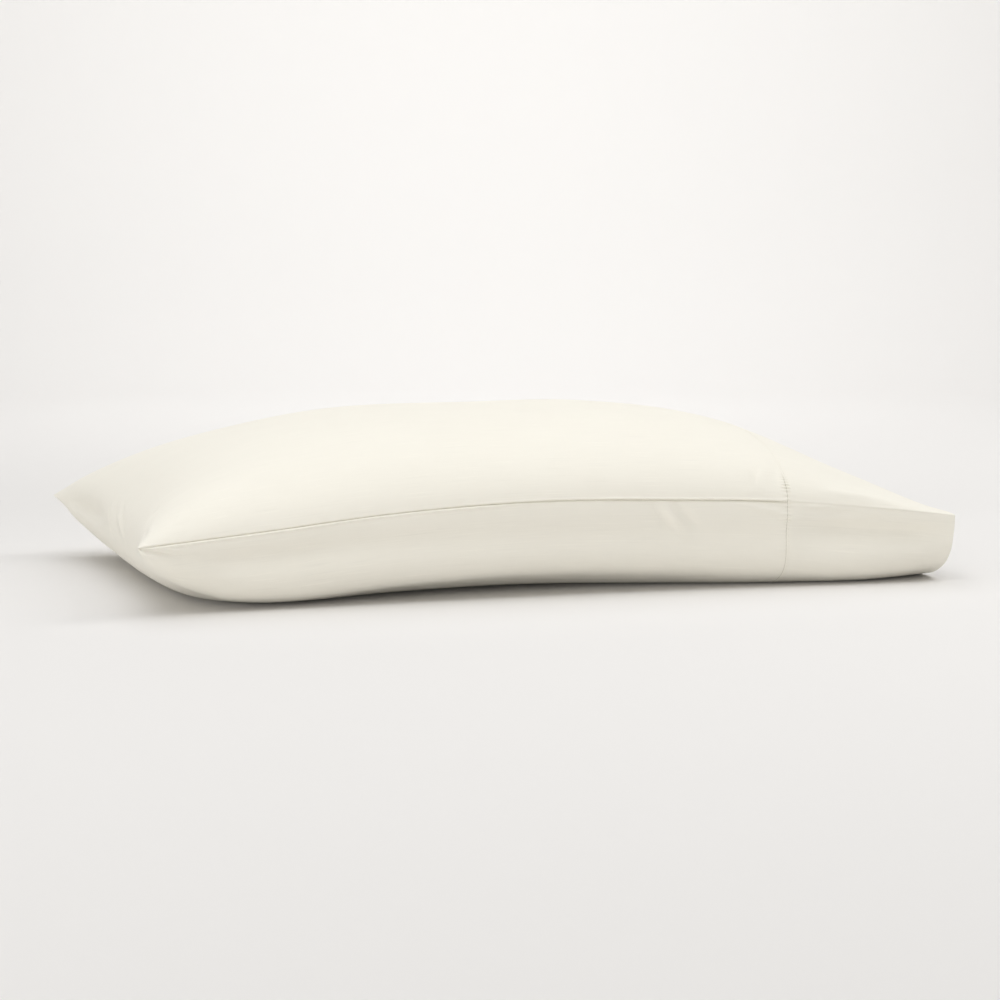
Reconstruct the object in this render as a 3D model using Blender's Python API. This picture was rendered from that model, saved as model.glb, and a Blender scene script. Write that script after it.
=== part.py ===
"""A filled pillowcase of plain cotton, lying on its back on a flat surface.

The body is one length of cloth, folded at the closed end and sewn down both long sides. It is filled,
so it is one solid, with its crown, its drawn-in closed end and its two pointed corners. A cuff, a band
folded double, is sewn round the mouth. It is a thin open sleeve that starts where the body's cloth
ends, and the filling's rounded end stands a little way into it.

+X runs from the closed end to the open mouth, +Y from the front side seam to the back one, +Z up.
The origin is at the middle of the footprint, on the surface. Lengths are in metres.
"""

import math

import bpy
import numpy as np

# Driving dimensions.
LENGTH = 0.736  # a side seam from corner to corner, in a straight line
CUFF_DEPTH = 0.160
CLOTH = 0.0020  # the cuff's wall, two layers of cloth with what lies turned in between
GAP = 0.0003  # between pieces that meet
CLOSED_END_DRAW = 0.019  # how far the closed end's middle is drawn in from its corners
CLOSED_END_DIP = 0.013  # and how far it lies below them
DIP_FADE = 0.15  # share of the length over which that dip fades
MOUTH_BOW = 0.006  # how far the mouth's middle stands out from its corners
END_BOW = 2.2  # how evenly these two ends curve: more is flatter in the middle
EAR = 0.034  # length over which a corner at the closed end fills out
EAR_BLUNTNESS = 0.6  # and how it does: under 1 is fuller right at the corner
HIP = 4.0  # sharpness of the rounded ridge from such a corner to the crown
FLOOR_EASE = 0.008  # how softly the underside turns into its flat patch
FILLING_REACH = 0.075  # how far the filling's rounded end stands into the cuff
FILLING_NARROWING = 0.15  # share of its width that it loses by its tip

# Mesh density.
HALF_GIRTH = 36  # points over one panel, from seam to seam
BODY_ROWS = 34
FILLING_ROWS = 7
CUFF_ROWS = 9

# A panel's form: bow and edge shape its section as (1 - |across|**bow)**edge, and end is the length over
# which it rises from the closed end.
PANEL_COLUMNS = ("bow", "edge", "end")
PANELS = {
    "top": (2.5, 0.52, 0.096),
    "under": (3.0, 0.34, 0.076),
}

# Sections across the case, a row each. along is the share of the length from the closed end, seam the
# height of the side seams, crown the top panel's height over them, belly how far the lower panel would
# hang below them if the surface didn't hold it, and half_width the distance from the middle to a seam.
SECTION_COLUMNS = ("along", "seam", "crown", "belly", "half_width")
SECTIONS = (
    (0.00, 0.0582, 0.0745, 0.0700, 0.2345),
    (0.14, 0.0670, 0.0812, 0.0950, 0.2262),
    (0.30, 0.0784, 0.0792, 0.0927, 0.2227),
    (0.48, 0.0842, 0.0725, 0.0932, 0.2215),
    (0.64, 0.0815, 0.0735, 0.0978, 0.2212),
    (0.78, 0.0769, 0.0625, 0.1042, 0.2240),
    (0.90, 0.0686, 0.0320, 0.0955, 0.2295),
    (1.00, 0.0607, 0.0050, 0.0745, 0.2340),
)

# Soft folds, a row each. along and across are a fold's middle, with across from -1 at the front seam to
# +1 at the back one, and its height is under 0 for a trough.
FOLD_COLUMNS = ("panel", "along", "across", "along_width", "across_width", "height")
FOLDS = (
    ("top", 0.93, -0.80, 0.060, 0.12, -0.0040),
    ("top", 0.98, -0.32, 0.060, 0.24, 0.0035),
    ("top", 0.97, 0.38, 0.070, 0.20, -0.0050),
    ("top", 0.88, 0.80, 0.060, 0.14, -0.0035),
    ("top", 0.56, 0.80, 0.140, 0.14, -0.0040),
    ("top", 0.16, 0.30, 0.080, 0.30, -0.0030),
    ("under", 0.92, -0.94, 0.050, 0.04, 0.0025),
    ("under", 0.30, 0.95, 0.100, 0.04, 0.0025),
)


def row_at(along):
    """Each column of SECTIONS at any place along the length, on a smooth curve through the rows."""
    table = np.array(SECTIONS)
    places = table[:, 0]
    slopes = np.gradient(table, places, axis=0)
    i = int(np.clip(np.searchsorted(places, along, side="right") - 1, 0, len(places) - 2))
    step = places[i + 1] - places[i]
    t = (along - places[i]) / step
    values = (
        table[i] * (2 * t**3 - 3 * t**2 + 1)
        + slopes[i] * step * (t**3 - 2 * t**2 + t)
        + table[i + 1] * (3 * t**2 - 2 * t**3)
        + slopes[i + 1] * step * (t**3 - t**2)
    )
    return dict(zip(SECTION_COLUMNS, values))


def on_surface(z, floor):
    """Heights as the surface holds them up: flat where they would be well under it, and eased round."""
    over = z - floor
    eased = (over + FLOOR_EASE) ** 2 / (4 * FLOOR_EASE)
    return floor + np.where(over < -FLOOR_EASE, 0.0, np.where(over > FLOOR_EASE, over, eased))


def bulge(panel, across, inward, corner):
    """A panel's height as a share of its middle's.

    inward is the distance from the closed end's edge, and corner the distance from its nearer corner.
    """
    form = dict(zip(PANEL_COLUMNS, PANELS[panel]))
    side = (1 - np.abs(across) ** form["bow"]) ** form["edge"]
    end = np.sqrt(np.maximum(inward, 0) / form["end"])
    met = side * end / np.maximum(side**HIP + end**HIP, 1e-30) ** (1 / HIP)
    return met * (1 - np.exp(-((corner / EAR) ** EAR_BLUNTNESS)))


def folds(panel, along, across):
    """What the soft folds add to a panel's height. They die out at the seams."""
    total = np.zeros_like(across)
    for values in FOLDS:
        fold = dict(zip(FOLD_COLUMNS, values))
        if fold["panel"] == panel:
            away = (along - fold["along"]) / fold["along_width"]
            aside = (across - fold["across"]) / fold["across_width"]
            total += fold["height"] * np.exp(-(away**2) - aside**2)
    return total * (1 - across**8)


def ring(along, inset=0.0):
    """Points round the case, from the front seam over the top to the back seam and back underneath.

    inset takes them in from the outer face, for the inside of a wall.
    """
    row = row_at(along)
    across = -np.cos(math.pi * np.arange(HALF_GIRTH + 1) / HALF_GIRTH)
    across[0], across[-1] = -1.0, 1.0
    middle = 1 - np.abs(across) ** END_BOW
    from_edge = CLOSED_END_DRAW * middle
    to_edge = LENGTH + MOUTH_BOW * middle
    x = from_edge + (to_edge - from_edge) * along
    y = across * (row["half_width"] - inset)
    corner = np.hypot(x, row_at(0)["half_width"] - np.abs(y))
    between = row["seam"] - CLOSED_END_DIP * middle * math.exp(-along / DIP_FADE) - inset
    top = between + row["crown"] * bulge("top", across, x - from_edge, corner)
    under = between - (row["belly"] - 2 * inset) * bulge("under", across, x - from_edge, corner)
    top += folds("top", along, across)
    under += folds("under", along, across)
    over = np.column_stack([x, y, top])
    below = np.column_stack([x, y, on_surface(under, inset)])
    return np.concatenate([over, below[-2:0:-1]])


def body_rings():
    """The body's outer face, in rows that lie closer together where the closed end rounds up."""
    last = 1 - CUFF_DEPTH / LENGTH
    steps = np.linspace(0, 1, BODY_ROWS)
    return [ring(last * (0.3 * step + 0.7 * step**2.4)) for step in steps]


def filling_rings():
    """The filling's rounded end inside the cuff, from the sewn line to its tip."""
    start = 1 - CUFF_DEPTH / LENGTH
    rings = []
    for turn in np.linspace(0, math.pi / 2, FILLING_ROWS):
        made = ring(start + FILLING_REACH / LENGTH * math.sin(turn), inset=CLOTH + GAP)
        middle = (made[:, 2].max() + made[:, 2].min()) / 2
        made[:, 2] = middle + (made[:, 2] - middle) * math.cos(turn)
        made[:, 1] *= 1 - FILLING_NARROWING * (1 - math.cos(turn))
        rings.append(made)
    return rings


def tube(rings, pinched):
    """Points and faces of a tube through the rings. A pinched one closes to a line instead of a loop."""
    girth = 2 * HALF_GIRTH
    points, index = [], []
    for number, made in enumerate(rings):
        start = len(points)
        if number in pinched:
            points.extend(made[: HALF_GIRTH + 1])
            index.append([start + min(i, girth - i) for i in range(girth)])
        else:
            points.extend(made)
            index.append([start + i for i in range(girth)])
    faces = []
    for near, far in zip(index, index[1:]):
        for i in range(girth):
            k = (i + 1) % girth
            corners = []
            for corner in (near[i], far[i], far[k], near[k]):
                if corner not in corners:
                    corners.append(corner)
            faces.append(tuple(corners))
    return points, faces


def body_form():
    """The filled body, from the closed end's edge to the tip of the filling inside the cuff."""
    rings = body_rings() + filling_rings()
    return tube(rings, pinched=(0, len(rings) - 1))


def cuff_form():
    """The cuff: an outer and an inner wall that meet at the sewn line and at the mouth."""
    places = np.linspace(1 - (CUFF_DEPTH - GAP) / LENGTH, 1, CUFF_ROWS)
    walls = [ring(along) for along in places] + [ring(along, inset=CLOTH) for along in places[::-1]]
    points, faces = tube(walls + walls[:1], pinched=())
    kept = len(points) - 2 * HALF_GIRTH
    return points[:kept], [tuple(i % kept for i in face) for face in faces]


def cotton(name, colour):
    """A matt cotton finish."""
    made = bpy.data.materials.new(name)
    made.use_nodes = True
    shader = made.node_tree.nodes["Principled BSDF"]
    shader.inputs["Base Color"].default_value = (*colour, 1)
    shader.inputs["Roughness"].default_value = 0.9
    shader.inputs["Metallic"].default_value = 0
    return made


def solid(name, points, faces, finish, collection):
    """A closed mesh object with its own material."""
    mesh = bpy.data.meshes.new(name)
    mesh.from_pydata([tuple(map(float, point)) for point in points], [], faces)
    mesh.update()
    mesh.shade_smooth()
    mesh.set_sharp_from_angle(angle=math.radians(60))
    mesh.materials.append(finish)
    made = bpy.data.objects.new(name, mesh)
    collection.objects.link(made)
    return made


def main():
    for old in list(bpy.data.objects):
        bpy.data.objects.remove(old, do_unlink=True)
    collection = bpy.data.collections.new("pillowcase")
    bpy.context.scene.collection.children.link(collection)

    body_points, body_faces = body_form()
    cuff_points, cuff_faces = cuff_form()
    every = np.concatenate([body_points, cuff_points])
    middle = (every.min(axis=0) + every.max(axis=0)) / 2
    origin = np.array([middle[0], middle[1], 0.0])

    ivory = (0.86, 0.83, 0.74)
    solid("case_body", body_points - origin, body_faces, cotton("body_cotton", ivory), collection)
    solid("cuff", cuff_points - origin, cuff_faces, cotton("cuff_cotton", ivory), collection)


main()
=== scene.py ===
"""The looks of a filled pillowcase of ivory cotton, with its doubled cuff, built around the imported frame.

Lengths are in metres, in the frame's axes: +X from the closed end to the open mouth, +Y from the front side
seam to the back one, +Z up from the floor.
"""

import math

import bpy
import numpy as np
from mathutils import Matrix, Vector, noise


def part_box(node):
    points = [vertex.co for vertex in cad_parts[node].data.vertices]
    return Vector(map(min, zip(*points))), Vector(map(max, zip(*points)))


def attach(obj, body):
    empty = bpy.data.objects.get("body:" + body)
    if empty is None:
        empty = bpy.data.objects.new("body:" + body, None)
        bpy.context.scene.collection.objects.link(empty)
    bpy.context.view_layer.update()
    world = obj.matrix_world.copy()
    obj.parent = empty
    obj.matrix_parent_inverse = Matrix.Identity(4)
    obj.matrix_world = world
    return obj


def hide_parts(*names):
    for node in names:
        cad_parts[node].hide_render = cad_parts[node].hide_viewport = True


# The case's form, as its solids have it.
LENGTH = 0.736  # a side seam from corner to corner, in a straight line
CUFF_DEPTH = 0.160
CLOTH = 0.0020  # the cuff's wall
GAP = 0.0003  # between the cuff and the filling's end in it
CLOSED_END_DRAW = 0.019  # how far the closed end's middle is drawn in from its corners
CLOSED_END_DIP = 0.013  # and how far it lies below them
DIP_FADE = 0.15  # share of the length over which that dip fades
MOUTH_BOW = 0.006  # how far the mouth's middle stands out from its corners
END_BOW = 2.2  # how evenly these two ends curve
EAR = 0.034  # length over which a corner at the closed end fills out
EAR_BLUNTNESS = 0.6
HIP = 4.0  # sharpness of the rounded ridge from such a corner to the crown
FLOOR_EASE = 0.008  # how softly the underside turns into its flat patch
FILLING_REACH = 0.075  # how far the filling's rounded end stands into the cuff
FILLING_NARROWING = 0.15  # share of its width that it loses by its tip
HALF_GIRTH = 0.51  # the flat case's width

# A panel's form: bow and edge shape its section as (1 - |across|**bow)**edge, and end is the length over
# which it rises from the closed end.
PANEL_COLUMNS = ("bow", "edge", "end")
PANELS = {
    "top": (2.5, 0.52, 0.096),
    "under": (3.0, 0.34, 0.076),
}

# Sections across the case, a row each, at shares of the length from the closed end.
SECTION_COLUMNS = ("along", "seam", "crown", "belly", "half_width")
SECTIONS = (
    (0.00, 0.0582, 0.0745, 0.0700, 0.2345),
    (0.14, 0.0670, 0.0812, 0.0950, 0.2262),
    (0.30, 0.0784, 0.0792, 0.0927, 0.2227),
    (0.48, 0.0842, 0.0725, 0.0932, 0.2215),
    (0.64, 0.0815, 0.0735, 0.0978, 0.2212),
    (0.78, 0.0769, 0.0625, 0.1042, 0.2240),
    (0.90, 0.0686, 0.0320, 0.0955, 0.2295),
    (1.00, 0.0607, 0.0050, 0.0745, 0.2340),
)

# Broad soft folds, a row each, with across from -1 at the front seam to +1 at the back one.
FOLD_COLUMNS = ("panel", "along", "across", "along_width", "across_width", "height")
FOLDS = (
    ("top", 0.93, -0.80, 0.060, 0.12, -0.0040),
    ("top", 0.98, -0.32, 0.060, 0.24, 0.0035),
    ("top", 0.97, 0.38, 0.070, 0.20, -0.0050),
    ("top", 0.88, 0.80, 0.060, 0.14, -0.0035),
    ("top", 0.56, 0.80, 0.140, 0.14, -0.0040),
    ("top", 0.16, 0.30, 0.080, 0.30, -0.0030),
    ("under", 0.92, -0.94, 0.050, 0.04, 0.0025),
    ("under", 0.30, 0.95, 0.100, 0.04, 0.0025),
)

# The side seams, a row each, at shares of the length from the closed end: how deep the groove is where the
# panels meet, how wide it is on its lower side, and how far the cloth stands out under it and over it.
SEAM_COLUMNS = ("along", "groove", "lower_side", "under_ridge", "top_ridge")
SEAMS = (
    (0.00, 0.0008, 0.0004, 0.0004, 0.0004),
    (0.05, 0.0012, 0.0004, 0.0010, 0.0001),
    (0.34, 0.0012, 0.0004, 0.0010, 0.0001),
    (0.42, 0.0012, 0.0005, 0.0007, 0.0004),
    (0.50, 0.0014, 0.0010, 0.0003, 0.0008),
    (0.77, 0.0014, 0.0010, 0.0002, 0.0009),
    (0.79, 0.0004, 0.0010, 0.0000, 0.0003),
    (0.82, 0.0001, 0.0010, 0.0000, 0.0002),
    (0.89, 0.0002, 0.0010, 0.0000, 0.0002),
    (0.92, 0.0007, 0.0008, 0.0000, 0.0003),
    (0.95, 0.0002, 0.0010, 0.0000, 0.0002),
    (1.00, 0.0001, 0.0010, 0.0000, 0.0002),
)
GROOVE_HALF = 0.00040  # its width on its upper side
RIDGE_AWAY = 0.0014  # from the seam to a ridge's crest
RIDGE_INNER = 0.0007  # a ridge's half widths, towards the seam and away from it
RIDGE_OUTER = 0.0010
RIDGE_UNEVEN = 0.3  # how much a ridge's height changes, and over which length
RIDGE_UNEVEN_STEP = 0.05
SEAM_START = 0.004  # length over which a seam's relief begins at the closed end's corner
SEAM_PUCKER = 0.00018  # height of the fine puckers beside a seam
SEAM_PUCKER_FADE = 0.007
SEAM_PUCKER_STEP = 0.009

# The lower panel beside its seam, a row each: how far it draws in and then swells out, and how far from the
# seam.
BELLY_COLUMNS = ("along", "hollow", "hollow_at", "swell", "swell_at")
BELLY = (
    (0.00, 0.0000, 0.012, 0.0000, 0.040),
    (0.04, 0.0018, 0.014, 0.0020, 0.046),
    (0.10, 0.0060, 0.022, 0.0060, 0.056),
    (0.22, 0.0062, 0.024, 0.0064, 0.060),
    (0.40, 0.0042, 0.028, 0.0062, 0.060),
    (0.62, 0.0030, 0.031, 0.0056, 0.060),
    (0.74, 0.0020, 0.029, 0.0058, 0.060),
    (0.79, 0.0014, 0.027, 0.0064, 0.058),
    (0.85, 0.0088, 0.024, 0.0076, 0.057),
    (0.90, 0.0078, 0.023, 0.0074, 0.055),
    (0.95, 0.0076, 0.021, 0.0056, 0.052),
    (1.00, 0.0012, 0.020, 0.0006, 0.048),
)
HOLLOW_SHARE = 0.5  # the hollow's half width, and the swell's, as a share of its distance from the seam
SWELL_SHARE = 0.33

# The cuff's sewn line, a row each: how deep the body's edge and the cuff's roll into it, and how much the
# cloth gathers along it, at distances from the nearer side seam.
SEWN_COLUMNS = ("from_seam", "body_depth", "cuff_depth", "gather")
SEWN_LINE = {
    "top": (
        (0.000, 0.0012, 0.0009, 0.00080),
        (0.022, 0.0010, 0.0006, 0.00070),
        (0.034, 0.0003, 0.0000, 0.00015),
        (0.060, 0.0001, 0.0000, 0.00006),
        (0.260, 0.0001, 0.0000, 0.00006),
    ),
    "under": (
        (0.000, 0.0012, 0.0009, 0.00080),
        (0.010, 0.0011, 0.0008, 0.00055),
        (0.030, 0.0010, 0.0007, 0.00012),
        (0.260, 0.0009, 0.0006, 0.00010),
    ),
}
ROLL = 0.0006  # width over which the cloth rolls into the line
GATHER_FADE = 0.0030  # distance from the line over which the gathers die out
GATHER_SHIFT = 1.5  # how far the gathers wander round the case, in radians of their wave
GATHER_SHIFT_STEP = 0.012
GATHER_UNEVEN = 0.5
GATHER_UNEVEN_STEP = 0.006
GATHER_SINK = 0.3  # how far the wave's middle lies under the cloth, as a share of its height
CUFF_LAP = 0.0004  # how far the cuff's edge lies over the body's

# The thread that holds the cuff: one row of stitches beside the sewn line.
STITCH_AWAY = 0.0018
STITCH_STEP = 0.0032
STITCH_LENGTH = 0.0020
STITCH_DIMPLE = 0.00025
STITCH_DIMPLE_HALF = 0.0008
STITCH_SIDES = 8
STITCH_SECTIONS = 7
STITCH_UV_STEP = 0.0002  # between its sides, in the cloth coordinates
THREAD = 0.00022  # radius
THREAD_RISE = 0.7  # how far a stitch's middle stands out, and how far its ends dip in, in radii
THREAD_DIP = 2.4
THREAD_THINNING = 0.45  # share of its radius that a stitch loses at its ends

# The rounded fold at the mouth.
RIM = 0.0009  # length over which it rounds over
RIM_SHARE = 0.45  # of the wall, that its outer face rounds over

# Mesh density.
FINE = 0.00025  # between points next to a side seam
COARSE = 0.0028  # and far from it
GROWTH = 1.09  # from one step to the next
SPLIT = 4  # rows beside the sewn line have this many times the points
ROW_STEP = 0.0033
ROW_CLEARANCE = 0.001  # between the even rows and the fine ones
FINE_ROWS = np.array([4.2, 3.3, 2.6, 2.0, 1.5, 1.1, 0.75, 0.45, 0.2, 0.0]) * 1e-3  # from the sewn line
MOUTH_ROWS = np.array([3.2, 2.4, 1.7, 1.2, 0.8, 0.4, 0.0]) * 1e-3  # from the mouth
FILLING_ROWS = 26
PROFILE_POINTS = 361  # of a panel's line, before it is measured out
PLACE_TRIES = 1500  # trial sections for the even spacing of rows
PLACE_TRIES_POWER = 2.5  # and how much closer they lie at the closed end
WANDER_POINTS = 4000  # places at which a smooth random run is worked out
WANDER_GAIN = 2.0
WANDER_APART = 7.31  # between the noise of two seeds
SLOPE_STEP = 0.0004  # to the sections that a wall's direction is taken from

# Creases, a row each. A crease is a line over a panel, from one end to the other. Each end is
# given by its distance from the closed end and from the seam on its side. Its height is under 0 for a trough.
CREASE_COLUMNS = ("panel", "side", "from_x", "from_seam", "to_x", "to_seam", "width", "height")
CREASES = (
    # the diagonal fold under the seam, before the cuff
    ("under", "front", 0.4540, -0.0030, 0.4890, 0.0370, 0.0040, 0.0021),
    ("under", "front", 0.4440, 0.0000, 0.4770, 0.0350, 0.0045, -0.0018),
    ("under", "front", 0.4640, -0.0040, 0.5020, 0.0310, 0.0045, -0.0018),
    # under the front corner of the closed end
    ("under", "front", -0.0140, -0.0045, 0.0460, 0.0140, 0.0020, -0.0028),
    ("under", "front", 0.0060, 0.0018, 0.0460, 0.0070, 0.0013, 0.0010),
    ("under", "front", 0.0180, 0.0065, 0.0480, 0.0080, 0.0010, 0.0005),
    # over it, up the rounded ridge
    ("top", "front", 0.0062, 0.0140, 0.0078, 0.0500, 0.0020, -0.0010),
    ("top", "front", 0.0100, 0.0140, 0.0120, 0.0480, 0.0020, 0.0006),
    # low on the front, near the closed end
    ("under", "front", 0.1250, 0.0130, 0.1900, 0.0400, 0.0060, -0.0005),
    ("under", "front", 0.1400, 0.0100, 0.2050, 0.0370, 0.0050, 0.0004),
    # two short folds and a soft trough on the top panel, before the cuff
    ("top", "front", 0.5440, 0.0400, 0.5410, 0.0060, 0.0018, 0.0013),
    ("top", "front", 0.5620, 0.0400, 0.5450, 0.0030, 0.0018, 0.0015),
    ("top", "front", 0.5530, 0.0380, 0.5450, 0.0060, 0.0060, -0.0010),
    ("top", "front", 0.5790, 0.0600, 0.5650, 0.0040, 0.0060, -0.0009),
    # the cloth drawn to the junction
    ("under", "front", 0.5100, -0.0010, 0.6000, 0.0170, 0.0032, 0.0014),
    ("under", "front", 0.5450, 0.0030, 0.5740, 0.0100, 0.0022, 0.0006),
    ("under", "front", 0.5500, 0.0080, 0.5730, 0.0180, 0.0030, -0.0006),
    # the cuff, beside its own side seam
    ("under", "front", 0.5820, 0.0090, 0.6560, 0.0050, 0.0030, -0.0010),
    ("under", "front", 0.5840, 0.0040, 0.6200, 0.0010, 0.0018, 0.0006),
    ("under", "front", 0.6400, 0.0110, 0.6800, 0.0080, 0.0030, -0.0006),
    ("top", "front", 0.6000, 0.0140, 0.6860, 0.0090, 0.0050, 0.0019),
    # the back half, which the view doesn't show
    ("under", "back", 0.0010, 0.0020, 0.0320, 0.0120, 0.0024, -0.0009),
    ("under", "back", 0.2900, 0.0040, 0.3150, 0.0300, 0.0050, -0.0006),
    ("top", "back", 0.4200, 0.0060, 0.4420, 0.0420, 0.0050, 0.0005),
    ("under", "back", 0.5450, 0.0030, 0.5740, 0.0110, 0.0024, 0.0006),
    ("top", "back", 0.6100, 0.0090, 0.6600, 0.0060, 0.0030, -0.0008),
)

# Short puckers across the closed end's folded edge, a row each: lines on the end face, in Y and Z.
END_COLUMNS = ("from_y", "from_z", "to_y", "to_z", "width", "height")
END_PUCKERS = (
    (0.0600, 0.0720, 0.0140, 0.0360, 0.0026, -0.0022),
    (0.0510, 0.0720, 0.0060, 0.0370, 0.0024, 0.0012),
    (0.0370, 0.0730, -0.0260, 0.0390, 0.0025, -0.0020),
    (0.0290, 0.0730, -0.0330, 0.0400, 0.0024, 0.0014),
    (0.0170, 0.0740, -0.0470, 0.0400, 0.0025, 0.0018),
    (0.0080, 0.0740, -0.0570, 0.0410, 0.0025, -0.0022),
    (0.0440, 0.0530, 0.0180, 0.0370, 0.0028, -0.0012),
    (-0.0640, 0.0400, -0.0840, 0.0250, 0.0028, -0.0014),
    (-0.1470, 0.0830, -0.1780, 0.0630, 0.0030, -0.0016),
    (-0.1590, 0.0810, -0.1880, 0.0630, 0.0028, 0.0012),
    # the hollow that runs in from the back corner
    (0.2320, 0.0560, 0.0500, 0.0530, 0.0100, -0.0064),
)
END_REACH = 0.055  # how far from the closed end these lines may reach
END_HOLLOW = 0.0040  # how far the folded edge is drawn in
END_HOLLOW_REACH = 0.016

# The camera: where it stands from the closed end's front corner, and how it looks.
CAMERA_RIGHT = 0.2908
CAMERA_BACK = 1.956
CAMERA_UP = 0.2347
CAMERA_YAW = math.radians(18.33)
CAMERA_PITCH = math.radians(5.70)
CAMERA_FOCAL_SHARE = 2.458  # focal length as a share of the picture's width
SENSOR = 36.0

# Colours, and shares of the cloth's own colour for its yarns and for the painted shade in a sewn line.
IVORY = (0.905, 0.875, 0.785)
THREAD_IVORY = (0.88, 0.85, 0.76)
STUDIO = (0.81, 0.796, 0.780)
SKY_COLOUR = (1.0, 0.995, 0.98)
PATCH_SHARE = 0.988
FINE_YARN_SHARE = 0.98
THIN_YARN_SHARE = 0.965
THICK_YARN_SHARE = 1.03
PAINTED_SEAM_SHADE_SHARE = (0.56, 0.55, 0.50)

# The weave. A stretch is a noise's scale over the cloth coordinates, along the case and round it.
YARN_SCALE = 720.0
SLUB_STRETCH = (24.0, 780.0)
FINE_SLUB_STRETCH = (60.0, 1700.0)
PATCH_STRETCH = (9.0, 14.0)
THICK_YARN = (0.66, 0.86)  # levels of the slubs' noise between which a yarn turns thick, or thin
THIN_YARN = (0.34, 0.16)
FINE_YARN = (0.55, 0.95)
PATCH = (0.3, 0.7)
THICK_HEIGHT = 0.9  # of a thick yarn, and of the fine slubs, next to the weave's own
FINE_HEIGHT = 0.5
WEAVE_BUMP = 0.0003

# The sewn lines' painted shade: a darker line for the shadow in their grooves, in the cloth coordinates.
SEAM_SHADE = 0.00037  # half its width in a side seam
SEAM_SHADE_CORE = 0.3  # share of that at which it is fully dark
SEAM_SHADE_RUN = (-0.3, 0.45)  # places along the case between which it turns darker
LINE_SHADE = 1.6  # its width in the cuff's sewn line, in half widths of the seam's
LINE_NEAR_SEAM = (0.034, 0.022)  # on the top panel it shows only this near to a side seam
LINE_FADE = 0.001
BODY_SEAM_SHADE = 0.72  # how dark the painted shade is: 1 is the whole of its share of the colour
CUFF_SEAM_SHADE = 0.1
CUFF_LINE_SHADE = 0.75

# The studio: a round floor whose rim curves up.
FLOOR_RADIUS = 2.9
FLOOR_SIDES = 96
RIM_CURVE = 2.0
RIM_TURN = math.radians(75)
RIM_ROWS = 26
RIM_HEIGHT = 2.4
RIM_REACH = 0.25  # from the curve's end to the rim's top edge
SKY = 0.31

# Lights round the case, a row each, in the frame's axes. They all point at the origin.
LIGHT_COLUMNS = ("name", "x", "y", "z", "width", "height", "power")
LIGHTS = (
    ("overhead", 0.0, 0.0, 2.6, 3.2, 3.2, 26.5),
    ("left_top", -1.7, -0.2, 1.8, 1.2, 1.2, 2.0),
    ("right_top", 1.7, -0.2, 1.8, 1.2, 1.2, 16.5),
    ("back_top", 0.0, 1.5, 2.0, 1.4, 1.0, 10.0),
    ("low_front", -0.6, -3.0, 0.45, 2.4, 0.6, 8.0),
    ("low_left", -2.6, -1.6, 0.5, 1.2, 0.6, 19.0),
)

# Lights for the floor and the backdrop, a row each: how far ahead of the origin each one and its target lie,
# in the camera's direction, and how high.
AHEAD_COLUMNS = ("name", "away", "up", "target_away", "target_up", "width", "height", "power")
AHEAD_LIGHTS = (
    ("floor_front", -1.0, 1.6, -0.9, 0.0, 2.5, 0.8, 6.3),
    ("wash", 2.2, 2.6, 4.6, 1.1, 1.4, 0.7, 59.0),
)


def row_at(along):
    """Each column of SECTIONS at any place along the length, on a smooth curve through the rows."""
    table = np.array(SECTIONS)
    places = table[:, 0]
    slopes = np.gradient(table, places, axis=0)
    i = int(np.clip(np.searchsorted(places, along, side="right") - 1, 0, len(places) - 2))
    step = places[i + 1] - places[i]
    t = (along - places[i]) / step
    values = (
        table[i] * (2 * t**3 - 3 * t**2 + 1)
        + slopes[i] * step * (t**3 - 2 * t**2 + t)
        + table[i + 1] * (3 * t**2 - 2 * t**3)
        + slopes[i + 1] * step * (t**3 - t**2)
    )
    return dict(zip(SECTION_COLUMNS, values))


def on_surface(z, floor):
    """Heights as the floor holds them up: flat where they would be well under it, and eased round."""
    over = z - floor
    eased = (over + FLOOR_EASE) ** 2 / (4 * FLOOR_EASE)
    return floor + np.where(over < -FLOOR_EASE, 0.0, np.where(over > FLOOR_EASE, over, eased))


def bulge(panel, across, inward, corner):
    """A panel's height as a share of its middle's."""
    form = dict(zip(PANEL_COLUMNS, PANELS[panel]))
    side = (1 - np.abs(across) ** form["bow"]) ** form["edge"]
    end = np.sqrt(np.maximum(inward, 0) / form["end"])
    met = side * end / np.maximum(side**HIP + end**HIP, 1e-30) ** (1 / HIP)
    return met * (1 - np.exp(-((corner / EAR) ** EAR_BLUNTNESS)))


def folds(panel, along, across):
    """What the soft folds add to a panel's height. They die out at the seams."""
    total = np.zeros_like(across)
    for values in FOLDS:
        fold = dict(zip(FOLD_COLUMNS, values))
        if fold["panel"] == panel:
            away = (along - fold["along"]) / fold["along_width"]
            aside = (across - fold["across"]) / fold["across_width"]
            total += fold["height"] * np.exp(-(away**2) - aside**2)
    return total * (1 - across**8)


def panel_lines(along, inset=0.0):
    """The top and the lower panel's lines across the case, from the front seam to the back one."""
    row = row_at(along)
    across = -np.cos(np.linspace(0, math.pi, PROFILE_POINTS))
    across[0], across[-1] = -1.0, 1.0
    middle = 1 - np.abs(across) ** END_BOW
    from_edge = CLOSED_END_DRAW * middle
    to_edge = LENGTH + MOUTH_BOW * middle
    x = from_edge + (to_edge - from_edge) * along
    y = across * (row["half_width"] - inset)
    corner = np.hypot(x, row_at(0)["half_width"] - np.abs(y))
    between = row["seam"] - CLOSED_END_DIP * middle * math.exp(-along / DIP_FADE) - inset
    top = between + row["crown"] * bulge("top", across, x - from_edge, corner)
    under = between - (row["belly"] - 2 * inset) * bulge("under", across, x - from_edge, corner)
    top += folds("top", along, across)
    under += folds("under", along, across)
    return np.column_stack([x, y, top]), np.column_stack([x, y, on_surface(under, inset)])


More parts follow.
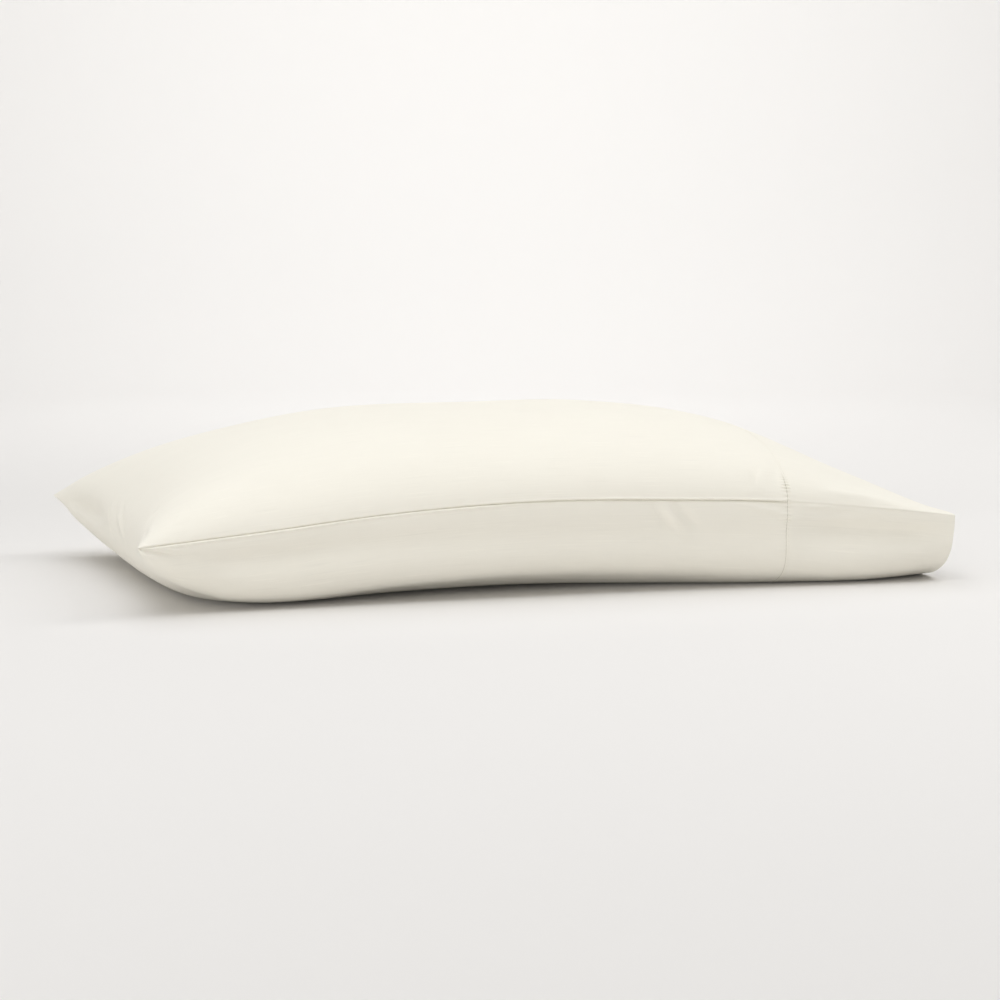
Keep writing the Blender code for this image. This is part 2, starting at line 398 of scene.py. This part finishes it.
def steps_between(length, fine, coarse, growth):
    """Shares of a length, fine apart at both ends and coarse apart in the middle."""
    ends = []
    step = fine
    while step < coarse:
        ends.append(step)
        step *= growth
    rest = length - 2 * sum(ends)
    count = max(1, round(rest / coarse))
    steps = ends + [rest / count] * count + ends[::-1]
    return np.concatenate([[0.0], np.cumsum(steps) / length])


SHARES = steps_between(HALF_GIRTH, FINE, COARSE, GROWTH)
FINE_SHARES = np.interp(np.arange(SPLIT * (len(SHARES) - 1) + 1) / SPLIT, np.arange(len(SHARES)), SHARES)


def measured(line, shares):
    """A line's points at shares of its length, and their distances along it."""
    run = np.concatenate([[0.0], np.cumsum(np.linalg.norm(np.diff(line, axis=0), axis=1))])
    at = shares * run[-1]
    return np.column_stack([np.interp(at, run, line[:, i]) for i in range(3)]), at


def ring(along, inset=0.0, shares=SHARES):
    """Points round the case, and each one's distance from the front and from the back seam."""
    top, under = panel_lines(along, inset)
    top, top_at = measured(top, shares)
    under, under_at = measured(under, shares)
    points = np.concatenate([top, under[-2:0:-1]])
    front = np.concatenate([top_at, under_at[-2:0:-1]])
    back = np.concatenate([top_at[-1] - top_at, (under_at[-1] - under_at)[-2:0:-1]])
    return points, front, back


class Wall:
    """A grid of rings: points, unit vectors out of them, each row's place, and distances from both seams."""

    def __init__(self, places, inset=0.0, shares=SHARES):
        rings = [ring(along, inset, shares) for along in places]
        self.points = np.array([r[0] for r in rings])
        self.front = np.array([r[1] for r in rings])
        self.back = np.array([r[2] for r in rings])
        self.along = np.array(places) * LENGTH
        self.is_top = np.broadcast_to(np.arange(self.front.shape[1]) < len(shares), self.front.shape)
        step = SLOPE_STEP / LENGTH
        ahead = np.array([ring(along + step, inset, shares)[0] for along in places])
        behind = np.array([ring(max(along - step, 0), inset, shares)[0] for along in places])
        around = np.roll(self.points, -1, axis=1) - np.roll(self.points, 1, axis=1)
        out = np.cross(ahead - behind, around)
        size = np.linalg.norm(out, axis=2, keepdims=True)
        self.normals = np.where(size > 1e-15, out / np.maximum(size, 1e-15), np.array([-1.0, 0.0, 0.0]))

    def moved(self, out, floor=0.0):
        """Its rows of points, moved out and kept over the floor."""
        points = self.points + self.normals * out[:, :, None]
        points[..., 2] = np.maximum(points[..., 2], floor)
        return list(points)


def body_places():
    """Rows of the body, evenly spaced over the top panel's middle, up to its fine rows at the sewn line."""
    last = 1 - CUFF_DEPTH / LENGTH
    tries = last * np.linspace(0, 1, PLACE_TRIES) ** PLACE_TRIES_POWER
    middle = PROFILE_POINTS // 2
    line = np.array([panel_lines(along)[0][middle] for along in tries])
    run = np.concatenate([[0.0], np.cumsum(np.linalg.norm(np.diff(line, axis=0), axis=1))])
    places = np.interp(np.linspace(0, run[-1], int(run[-1] / ROW_STEP)), run, tries)
    fine = last - FINE_ROWS / LENGTH
    return places[places < fine[0] - ROW_CLEARANCE / LENGTH], fine


def bell(x, half):
    """1 at 0, falling off smoothly over about half."""
    return np.exp(-((x / half) ** 2))


def wander(values, step, seed):
    """A smooth random run over values, from -1 to 1, that changes over about step."""
    flat = np.asarray(values, float).ravel()
    table_at = np.linspace(flat.min(), flat.max() + 1e-9, WANDER_POINTS)
    table = [WANDER_GAIN * noise.noise(Vector((at / step, seed * WANDER_APART, 0.5))) for at in table_at]
    return np.interp(flat, table_at, table).reshape(np.shape(values))


def columns_at(columns, table, places):
    """A table's columns, by name, at any places in its first column."""
    rows = np.array(table)
    return {name: np.interp(places, rows[:, 0], rows[:, i]) for i, name in enumerate(columns) if i}


def seam_detail(wall):
    """How far the side seams move the cloth out: the groove, its ridges and the puckers beside it."""
    total = np.zeros(wall.front.shape)
    along = np.broadcast_to(wall.along[:, None], total.shape)
    row = columns_at(SEAM_COLUMNS, SEAMS, wall.along[:, None] / LENGTH)
    ridge = np.where(wall.is_top, row["top_ridge"], row["under_ridge"])
    side = np.where(wall.is_top, GROOVE_HALF, row["lower_side"])
    start = np.clip(along / SEAM_START, 0, 1)
    for distance, seed in ((wall.front, 1), (wall.back, 2)):
        uneven = 1 + RIDGE_UNEVEN * wander(along, RIDGE_UNEVEN_STEP, seed)
        beside = distance - RIDGE_AWAY
        total -= row["groove"] * bell(distance, side) * start
        total += ridge * bell(beside, np.where(beside < 0, RIDGE_INNER, RIDGE_OUTER)) * uneven * start
        pucker = wander(along, SEAM_PUCKER_STEP, seed + 10)
        pucker += 0.5 * wander(along, SEAM_PUCKER_STEP / 2, seed + 20)
        total += SEAM_PUCKER * pucker * np.exp(-distance / SEAM_PUCKER_FADE) * start
    return total


def belly_detail(wall):
    """How far the lower panel is drawn in under its seams, and swells out over the floor."""
    row = columns_at(BELLY_COLUMNS, BELLY, wall.along[:, None] / LENGTH)
    total = np.zeros(wall.front.shape)
    for distance in (wall.front, wall.back):
        total -= row["hollow"] * bell(distance - row["hollow_at"], HOLLOW_SHARE * row["hollow_at"])
        total += row["swell"] * bell(distance - row["swell_at"], SWELL_SHARE * row["swell_at"])
    return total * ~wall.is_top


def crease_detail(wall):
    """How far the listed creases move the cloth out."""
    total = np.zeros(wall.front.shape)
    along = np.broadcast_to(wall.along[:, None], total.shape)
    for values in CREASES:
        crease = dict(zip(CREASE_COLUMNS, values))
        seam = wall.front if crease["side"] == "front" else wall.back
        run = np.array([crease["to_x"] - crease["from_x"], crease["to_seam"] - crease["from_seam"]])
        length = np.linalg.norm(run)
        run = run / length
        dx, ds = along - crease["from_x"], seam - crease["from_seam"]
        on = (dx * run[0] + ds * run[1]) / length
        off = -dx * run[1] + ds * run[0]
        fade = np.clip(1 - (2 * on - 1) ** 2, 0, 1) ** 1.5
        panel = wall.is_top if crease["panel"] == "top" else ~wall.is_top
        total += crease["height"] * bell(off, crease["width"]) * fade * panel
    return total


def end_detail(points):
    """How far the hollow and the puckers along the closed end's folded edge move the cloth out."""
    x, y, z = (points[:, :, i] for i in range(3))
    run = np.linalg.norm(points - points[:1], axis=2)
    total = -END_HOLLOW * (1 - np.abs(y / y.max()) ** 4) * bell(run, END_HOLLOW_REACH)
    for values in END_PUCKERS:
        pucker = dict(zip(END_COLUMNS, values))
        run = np.array([pucker["to_y"] - pucker["from_y"], pucker["to_z"] - pucker["from_z"]])
        length = np.linalg.norm(run)
        run = run / length
        dy, dz = y - pucker["from_y"], z - pucker["from_z"]
        on = 2 * (dy * run[0] + dz * run[1]) / length - 1
        off = dy * run[1] - dz * run[0]
        fade = np.clip(1 - on**2, 0, 1) ** 1.5
        total += pucker["height"] * bell(off, pucker["width"]) * fade * (x < END_REACH)
    return total


def sewn_line_detail(wall, line, column):
    """How far the cloth moves out along the cuff's sewn line: its edge rolls in, and it gathers."""
    seam = np.minimum(wall.front, wall.back)
    top, under = (columns_at(SEWN_COLUMNS, SEWN_LINE[panel], seam) for panel in ("top", "under"))
    depth = np.where(wall.is_top, top[column], under[column])
    gather = np.where(wall.is_top, top["gather"], under["gather"])
    away = np.abs(wall.along - line)[:, None]
    roll = np.clip(1 - away / ROLL, 0, 1)
    phase = 2 * math.pi * seam / STITCH_STEP + GATHER_SHIFT * wander(seam, GATHER_SHIFT_STEP, 41)
    wave = np.cos(phase) * (1 + GATHER_UNEVEN * wander(seam, GATHER_UNEVEN_STEP, 42)) - GATHER_SINK
    return gather * wave * np.exp(-away / GATHER_FADE) - depth * (1 - np.sqrt(1 - roll**2))


def filling_rows():
    """The filling's rounded end inside the cuff, from the sewn line to its tip."""
    turns = np.linspace(0, math.pi / 2, FILLING_ROWS)
    wall = Wall(1 + (FILLING_REACH * np.sin(turns) - CUFF_DEPTH) / LENGTH, inset=CLOTH + GAP)
    rows = []
    for turn, points in zip(turns, wall.moved(belly_detail(wall), floor=CLOTH + GAP)):
        middle = (points[:, 2].max() + points[:, 2].min()) / 2
        points[:, 2] = middle + (points[:, 2] - middle) * math.cos(turn)
        points[:, 1] *= 1 - FILLING_NARROWING * (1 - math.cos(turn))
        rows.append(points)
    return rows


def tube(rows, pinched=(), closed=False):
    """Points, faces and cloth coordinates of a tube through the rows, coarse or fine.

    A pinched row closes to a line instead of a loop. A closed tube ends where it starts.
    """
    points, loops = [], []
    run, before = 0.0, None
    for number, row in enumerate(rows):
        shares = SHARES if len(row) == 2 * (len(SHARES) - 1) else FINE_SHARES
        panel = len(shares)
        start = len(points)
        middle = row[panel // 2]
        run += 0.0 if before is None else float(np.linalg.norm(middle - before))
        before = middle
        if number in pinched:
            points.extend(row[:panel])
            index = [start + min(i, len(row) - i) for i in range(len(row))]
        else:
            points.extend(row)
            index = [start + i for i in range(len(row))]
        around = np.concatenate([shares, 2 - shares[-2::-1]]) * HALF_GIRTH
        loops.append((index + index[:1], around, run))
    if closed:
        first = loops[0]
        run += float(np.linalg.norm(rows[0][len(rows[0]) // 4] - rows[-1][len(rows[-1]) // 4]))
        loops.append((first[0], first[1], run))
    faces, places = [], []
    for (near, near_at, near_run), (far, far_at, far_run) in zip(loops, loops[1:]):
        count = min(len(near), len(far)) - 1
        a, b = (len(near) - 1) // count, (len(far) - 1) // count
        for i in range(count):
            corners = [(near[i * a], near_run, near_at[i * a])]
            corners += [(far[i * b + j], far_run, far_at[i * b + j]) for j in range(b + 1)]
            corners += [(near[i * a + j], near_run, near_at[i * a + j]) for j in range(a, 0, -1)]
            kept, seen = [], set()
            for corner in corners:
                if corner[0] not in seen:
                    seen.add(corner[0])
                    kept.append(corner)
            if len(kept) > 2:
                faces.append([corner[0] for corner in kept])
                places.extend(corner[1:] for corner in kept)
    return points, faces, places


def mesh_piece(name, points, faces, places, finish):
    """A smooth mesh object in the frame's place, with cloth coordinates in metres."""
    mesh = bpy.data.meshes.new(name)
    shift = np.array([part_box("case_body")[0][0], 0.0, 0.0])
    mesh.from_pydata((np.array(points) + shift).tolist(), [], faces)
    mesh.update()
    layer = mesh.uv_layers.new(name="cloth")
    layer.data.foreach_set("uv", np.array(places).ravel())
    mesh.shade_smooth()
    made = bpy.data.objects.new(name, mesh)
    mesh.materials.append(finish)
    bpy.context.scene.collection.objects.link(made)
    return made


def body_piece(finish):
    """The filled body, with its seams, puckers and creases."""
    line = LENGTH - CUFF_DEPTH
    places, fine = body_places()
    rows = []
    for wall in (Wall(places), Wall(fine, shares=FINE_SHARES)):
        out = belly_detail(wall) + seam_detail(wall) + crease_detail(wall)
        out += sewn_line_detail(wall, line, "body_depth")
        if not rows:
            out += end_detail(wall.points)
        rows += wall.moved(out)
    rows += filling_rows()
    made = mesh_piece("pillowcase_body", *tube(rows, pinched=(0, len(rows) - 1)), finish)
    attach(made, "root")
    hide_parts("case_body")
    return made


def stitch_ends(seam):
    """1 where a stitch dips into the cloth, 0 halfway along it."""
    return 0.5 + 0.5 * np.cos(2 * math.pi * seam / STITCH_STEP)


def cuff_piece(finish, thread):
    """The cuff, with a rolled edge at its sewn line and a rounded fold at the mouth."""
    first = LENGTH - CUFF_DEPTH - CUFF_LAP
    fine = (first + FINE_ROWS[::-1]) / LENGTH
    last = LENGTH - MOUTH_ROWS
    start = first + FINE_ROWS[0] + ROW_CLEARANCE
    places = np.concatenate([np.arange(start, last[0] - ROW_CLEARANCE, ROW_STEP), last]) / LENGTH
    rows, walls = [], (Wall(fine, shares=FINE_SHARES), Wall(places))
    for wall in walls:
        out = belly_detail(wall) + seam_detail(wall) + crease_detail(wall)
        out += sewn_line_detail(wall, first, "cuff_depth")
        seam = np.minimum(wall.front, wall.back)
        beside = (wall.along - (LENGTH - CUFF_DEPTH + STITCH_AWAY))[:, None]
        out -= STITCH_DIMPLE * stitch_ends(seam) * bell(beside, STITCH_DIMPLE_HALF)
        rim = np.clip(1 - (LENGTH - wall.along) / RIM, 0, 1)
        out -= (CLOTH * RIM_SHARE * (1 - np.sqrt(1 - rim**2)))[:, None]
        rows += wall.moved(out)
    stitches = stitch_piece(walls[0], rows[: len(fine)], thread)
    for inner in (Wall(places[::-1], inset=CLOTH), Wall(fine[:1], inset=CLOTH)):
        rows += inner.moved(belly_detail(inner), floor=CLOTH)
    made = mesh_piece("pillowcase_cuff", *tube(rows, closed=True), finish)
    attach(made, "root")
    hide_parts("cuff")


def stitch_points(middle, up):
    """Points round one stitch, a short thread that dips into the cloth at its ends."""
    up = up / np.linalg.norm(up, axis=1, keepdims=True)
    ahead = np.gradient(middle, axis=0)
    ahead /= np.linalg.norm(ahead, axis=1, keepdims=True)
    aside = np.cross(up, ahead)
    place = np.linspace(-1, 1, STITCH_SECTIONS)
    lift = THREAD * (THREAD_RISE - THREAD_DIP * place**4)
    thin = THREAD * (1 - THREAD_THINNING * place**4)
    points = []
    for k in range(STITCH_SECTIONS):
        for turn in np.arange(STITCH_SIDES) * 2 * math.pi / STITCH_SIDES:
            across = aside[k] * math.cos(turn) + up[k] * math.sin(turn)
            point = middle[k] + up[k] * lift[k] + across * thin[k]
            point[2] = max(point[2], 0.0)
            points.append(point)
    return points


def stitch_faces():
    """Faces round one stitch, over the points of stitch_points."""
    sides = STITCH_SIDES
    loops = [[k * sides + j for j in range(sides)] for k in range(STITCH_SECTIONS)]
    faces = [loops[0][::-1], loops[-1]]
    for near, far in zip(loops, loops[1:]):
        faces += [[near[j], near[(j + 1) % sides], far[(j + 1) % sides], far[j]] for j in range(sides)]
    return faces


def stitch_piece(wall, rows, finish):
    """The row of stitches beside the sewn line."""
    at = LENGTH - CUFF_DEPTH + STITCH_AWAY
    i = int(np.searchsorted(wall.along, at))
    share = (at - wall.along[i - 1]) / (wall.along[i] - wall.along[i - 1])
    line = rows[i - 1] * (1 - share) + rows[i] * share
    half = len(FINE_SHARES)
    top, under = np.arange(half), np.concatenate([[0], np.arange(2 * half - 3, half - 2, -1)])
    points, faces, places = [], [], []
    # over each panel, from the front seam to the back one
    for part in (top, under):
        seam = wall.front[i][part]
        path, facing = line[part], wall.normals[i][part]
        for number in range(int(seam[-1] / STITCH_STEP)):
            on = (number + 0.5) * STITCH_STEP + STITCH_LENGTH * np.linspace(-0.5, 0.5, STITCH_SECTIONS)
            middle = np.column_stack([np.interp(on, seam, path[:, k]) for k in range(3)])
            up = np.column_stack([np.interp(on, seam, facing[:, k]) for k in range(3)])
            first = len(points)
            points += stitch_points(middle, up)
            for face in stitch_faces():
                faces.append([first + f for f in face])
                places.extend((f % STITCH_SIDES * STITCH_UV_STEP, on[f // STITCH_SIDES]) for f in face)
    made = mesh_piece("cuff_stitches", points, faces, places, finish)
    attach(made, "root")
    return made


def cotton(name, colour, seam_shade, line_shade):
    """Ivory percale: a fine plain weave, with slubs in its yarns and a slightly uneven tone.

    A darker line of painted shade, for the shadow in a seam's groove, runs down both side seams, by a share
    of seam_shade, and round the edge that the cloth coordinates start from, by a share of line_shade.
    """
    made = bpy.data.materials.new(name)
    made.use_nodes = True
    tree = made.node_tree
    nodes, links = tree.nodes, tree.links
    shader = nodes["Principled BSDF"]
    shader.inputs["Roughness"].default_value = 0.85
    shader.inputs["Sheen Weight"].default_value = 0.12
    shader.inputs["Sheen Roughness"].default_value = 0.5
    shader.inputs["Specular IOR Level"].default_value = 0.25

    def node(kind, **values):
        new = nodes.new(kind)
        for key, value in values.items():
            if key in new.inputs:
                new.inputs[key].default_value = value
            else:
                setattr(new, key, value)
        return new

    place = node("ShaderNodeUVMap", uv_map="cloth")

    def stretched(along, around, detail=0.0):
        """Noise over the cloth, drawn out along one set of yarns."""
        mapping = node("ShaderNodeMapping")
        mapping.inputs["Scale"].default_value = (along, around, 1.0)
        links.new(place.outputs["UV"], mapping.inputs["Vector"])
        made = node("ShaderNodeTexNoise", Scale=1.0, Detail=detail, Roughness=0.55)
        links.new(mapping.outputs["Vector"], made.inputs["Vector"])
        return made

    def yarns(direction):
        """One set of yarns, as bands over the cloth."""
        made = node("ShaderNodeTexWave", Scale=YARN_SCALE, Distortion=0.6, Detail=1.0)
        made.wave_type = "BANDS"
        made.bands_direction = direction
        links.new(place.outputs["UV"], made.inputs["Vector"])
        return made

    def added(first, second, amount):
        """One height, and another by an amount."""
        made = node("ShaderNodeMath", operation="MULTIPLY_ADD")
        links.new(second, made.inputs[0])
        made.inputs[1].default_value = amount
        links.new(first, made.inputs[2])
        return made.outputs[0]

    def worked(operation, first, second):
        """Two values, or a value and a number, put together."""
        made = node("ShaderNodeMath", operation=operation)
        for socket, value in zip(made.inputs, (first, second)):
            if isinstance(value, float):
                socket.default_value = value
            else:
                links.new(value, socket)
        return made.outputs[0]

    def share(value, low, high):
        """Where a value lies between two levels, from 0 to 1."""
        made = node("ShaderNodeMapRange")
        made.inputs["From Min"].default_value = low
        made.inputs["From Max"].default_value = high
        links.new(value, made.inputs["Value"])
        return made.outputs["Result"]

    def blend(amount, first, second):
        """One colour over another, by a share."""
        made = node("ShaderNodeMix", data_type="RGBA")
        for socket, value in ((made.inputs[6], first), (made.inputs[7], second)):
            if isinstance(value, tuple):
                socket.default_value = (*value, 1)
            else:
                links.new(value, socket)
        links.new(amount, made.inputs[0])
        return made.outputs[2]

    slubs = stretched(*SLUB_STRETCH).outputs["Fac"]
    fine_slubs = stretched(*FINE_SLUB_STRETCH).outputs["Fac"]
    patches = stretched(*PATCH_STRETCH, detail=2.0).outputs["Fac"]
    thick, thin = share(slubs, *THICK_YARN), share(slubs, *THIN_YARN)

    height = worked("MAXIMUM", yarns("X").outputs["Fac"], yarns("Y").outputs["Fac"])
    height = added(added(height, thick, THICK_HEIGHT), fine_slubs, FINE_HEIGHT)
    bump = node("ShaderNodeBump", Strength=0.3, Distance=WEAVE_BUMP)
    links.new(height, bump.inputs["Height"])
    links.new(bump.outputs["Normal"], shader.inputs["Normal"])

    def toned(amount):
        """The cloth's colour by an amount, up to white."""
        return tuple(min(1.0, c * amount) for c in colour)

    yarn = blend(share(patches, *PATCH), toned(PATCH_SHARE), colour)
    yarn = blend(share(fine_slubs, *FINE_YARN), yarn, toned(FINE_YARN_SHARE))
    yarn = blend(thin, yarn, toned(THIN_YARN_SHARE))
    yarn = blend(thick, yarn, toned(THICK_YARN_SHARE))

    # Where the painted shade lies: down the side seams and along the cuff's sewn line, standing in for their
    # shadow.
    apart = node("ShaderNodeSeparateXYZ")
    links.new(place.outputs["UV"], apart.inputs["Vector"])
    lengthwise, round_it = apart.outputs["X"], apart.outputs["Y"]
    from_seam = worked("PINGPONG", round_it, HALF_GIRTH / 2)
    seam = share(from_seam, SEAM_SHADE, SEAM_SHADE * SEAM_SHADE_CORE)
    seam = worked("MULTIPLY", seam, share(lengthwise, *SEAM_SHADE_RUN))
    on_under = share(round_it, HALF_GIRTH, HALF_GIRTH + LINE_FADE)
    shown = worked("MAXIMUM", on_under, share(from_seam, *LINE_NEAR_SEAM))
    line = worked("MULTIPLY", share(lengthwise, SEAM_SHADE * LINE_SHADE, SEAM_SHADE), shown)
    # painted shade: the seams and the sewn line are darkened where their grooves are shaded
    thread = worked("MAXIMUM", worked("MULTIPLY", seam, seam_shade), worked("MULTIPLY", line, line_shade))
    sewn = tuple(c * by for c, by in zip(colour, PAINTED_SEAM_SHADE_SHARE))
    links.new(blend(thread, yarn, sewn), shader.inputs["Base Color"])
    return made


def plain(name, colour):
    """A matt studio finish."""
    made = bpy.data.materials.new(name)
    made.use_nodes = True
    shader = made.node_tree.nodes["Principled BSDF"]
    shader.inputs["Base Color"].default_value = (*colour, 1)
    shader.inputs["Roughness"].default_value = 0.95
    shader.inputs["Specular IOR Level"].default_value = 0.1
    return made


def studio(finish):
    """A round pale floor whose rim curves up all round."""
    profile = [(0.0, 0.0), (FLOOR_RADIUS / 3, 0.0), (FLOOR_RADIUS * 2 / 3, 0.0)]
    for turn in np.linspace(0, RIM_TURN, RIM_ROWS):
        profile.append((FLOOR_RADIUS + RIM_CURVE * math.sin(turn), RIM_CURVE * (1 - math.cos(turn))))
    profile.append((profile[-1][0] + RIM_REACH, RIM_HEIGHT))
    sides = FLOOR_SIDES
    points, faces = [(0.0, 0.0, 0.0)], []
    for radius, up in profile[1:]:
        for turn in np.arange(sides) * 2 * math.pi / sides:
            points.append((radius * math.cos(turn), radius * math.sin(turn), up))
    for j in range(sides):
        k = (j + 1) % sides
        faces.append((0, 1 + j, 1 + k))
        for i in range(len(profile) - 2):
            near, far = 1 + i * sides, 1 + (i + 1) * sides
            faces.append((near + j, far + j, far + k, near + k))
    mesh = bpy.data.meshes.new("studio_floor")
    mesh.from_pydata(points, [], faces)
    mesh.shade_smooth()
    mesh.materials.append(finish)
    made = bpy.data.objects.new("studio_floor", mesh)
    bpy.context.scene.collection.objects.link(made)


def area_light(name, place, target, width, height, power):
    """A soft rectangular light that points at a target."""
    data = bpy.data.lights.new(name, "AREA")
    data.shape = "RECTANGLE"
    data.size, data.size_y = width, height
    data.energy = power
    made = bpy.data.objects.new(name, data)
    made.location = place
    made.rotation_euler = (target - place).to_track_quat("-Z", "Y").to_euler()
    made.visible_camera = False
    bpy.context.scene.collection.objects.link(made)


def lights():
    """Plain soft studio light: a broad overhead one, fills round it, and a wash on the backdrop."""
    world = bpy.data.worlds.new("studio")
    bpy.context.scene.world = world
    world.use_nodes = True
    sky = world.node_tree.nodes["Background"]
    sky.inputs["Color"].default_value = (*SKY_COLOUR, 1)
    sky.inputs["Strength"].default_value = SKY
    for values in LIGHTS:
        row = dict(zip(LIGHT_COLUMNS, values))
        place = Vector((row["x"], row["y"], row["z"]))
        area_light(row["name"], place, Vector(), row["width"], row["height"], row["power"])
    ahead = Vector((math.sin(CAMERA_YAW), math.cos(CAMERA_YAW), 0))
    for values in AHEAD_LIGHTS:
        row = dict(zip(AHEAD_COLUMNS, values))
        place = ahead * row["away"] + Vector((0, 0, row["up"]))
        target = ahead * row["target_away"] + Vector((0, 0, row["target_up"]))
        area_light(row["name"], place, target, row["width"], row["height"], row["power"])


def camera():
    """The photo's view: from the front, a little above and to the closed end's side."""
    data = bpy.data.cameras.new("camera")
    data.sensor_width = SENSOR
    data.lens = CAMERA_FOCAL_SHARE * SENSOR
    right = Vector((math.cos(CAMERA_YAW), -math.sin(CAMERA_YAW), 0))
    ahead = Vector((math.sin(CAMERA_YAW), math.cos(CAMERA_YAW), 0))
    corner = Vector((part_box("case_body")[0][0], -row_at(0)["half_width"], row_at(0)["seam"]))
    made = bpy.data.objects.new("camera", data)
    made.location = corner + right * CAMERA_RIGHT - ahead * CAMERA_BACK + Vector((0, 0, CAMERA_UP))
    made.rotation_euler = (math.pi / 2 - CAMERA_PITCH, 0, -CAMERA_YAW)
    bpy.context.scene.collection.objects.link(made)
    bpy.context.scene.camera = made


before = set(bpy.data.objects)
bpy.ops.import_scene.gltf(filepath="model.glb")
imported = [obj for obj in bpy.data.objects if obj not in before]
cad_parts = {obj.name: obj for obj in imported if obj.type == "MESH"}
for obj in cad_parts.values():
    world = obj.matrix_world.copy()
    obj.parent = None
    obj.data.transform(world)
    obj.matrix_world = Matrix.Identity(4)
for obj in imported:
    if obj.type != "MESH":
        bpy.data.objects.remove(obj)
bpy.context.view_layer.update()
bpy.context.scene.view_settings.view_transform = "Standard"

camera()
lights()
studio(plain("studio_white", STUDIO))
body = body_piece(cotton("body_cotton_cloth", IVORY, BODY_SEAM_SHADE, 0.0))
cuff_cotton = cotton("cuff_cotton_cloth", IVORY, CUFF_SEAM_SHADE, CUFF_LINE_SHADE)
cuff_piece(cuff_cotton, plain("thread", THREAD_IVORY))
